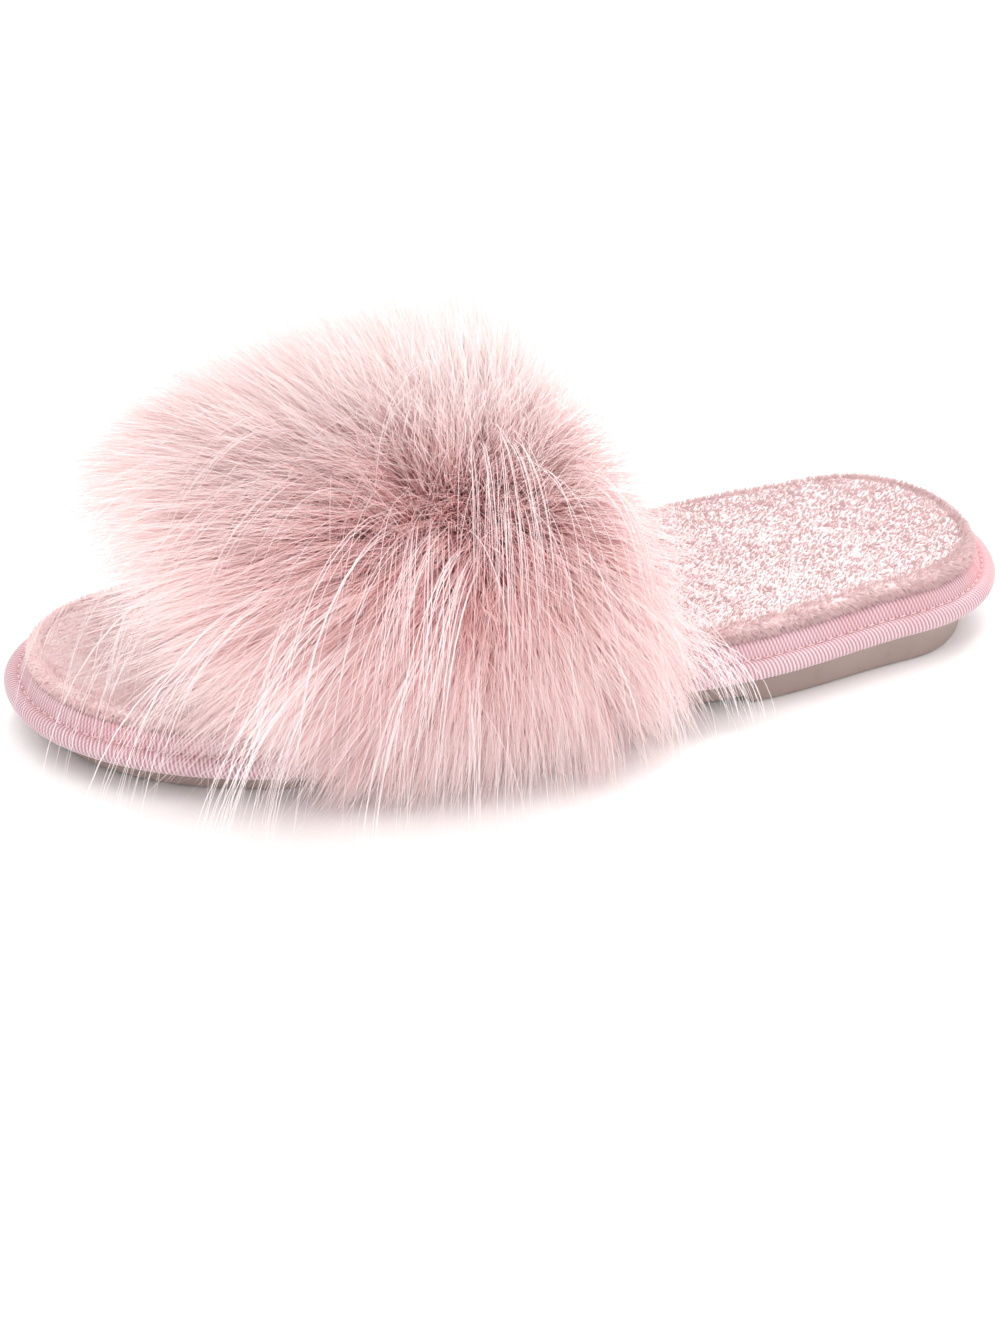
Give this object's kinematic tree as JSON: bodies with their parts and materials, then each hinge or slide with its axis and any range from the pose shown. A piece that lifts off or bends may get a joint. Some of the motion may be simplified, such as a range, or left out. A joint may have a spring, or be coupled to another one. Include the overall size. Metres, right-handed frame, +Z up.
{
  "type": "open-toe fur slide slipper",
  "caption": "Open-toe slide slipper with a deep-pile fur strap over the forefoot, a plush insole, a ribbed ribbon edge and a flat rubber sole with a low heel pad.",
  "frame": {"origin": "on the floor, under the middle of the heel, at the bottom face of the heel pad", "axes": "+X points to the toe, +Y to the outer side of the foot, +Z up"},
  "size_m": [0.2576, 0.1866, 0.1046],
  "materials": {
    "sole_rubber": "satin, fine moulded grain",
    "footbed_foam": "matt closed-cell foam",
    "ribbon": "ribbed ribbon with a slight sheen",
    "plush": "short dense pile",
    "strap_cloth": "matt backing cloth with a smooth lining",
    "fur": "long soft pile with pale guard hairs"
  },
  "bodies": {
    "root": {"outsole": "sole_rubber", "footbed": "footbed_foam", "edge_ribbon": "ribbon", "plush_insole": "plush", "strap": "strap_cloth", "fur": "fur"}
  },
  "joints": []
}
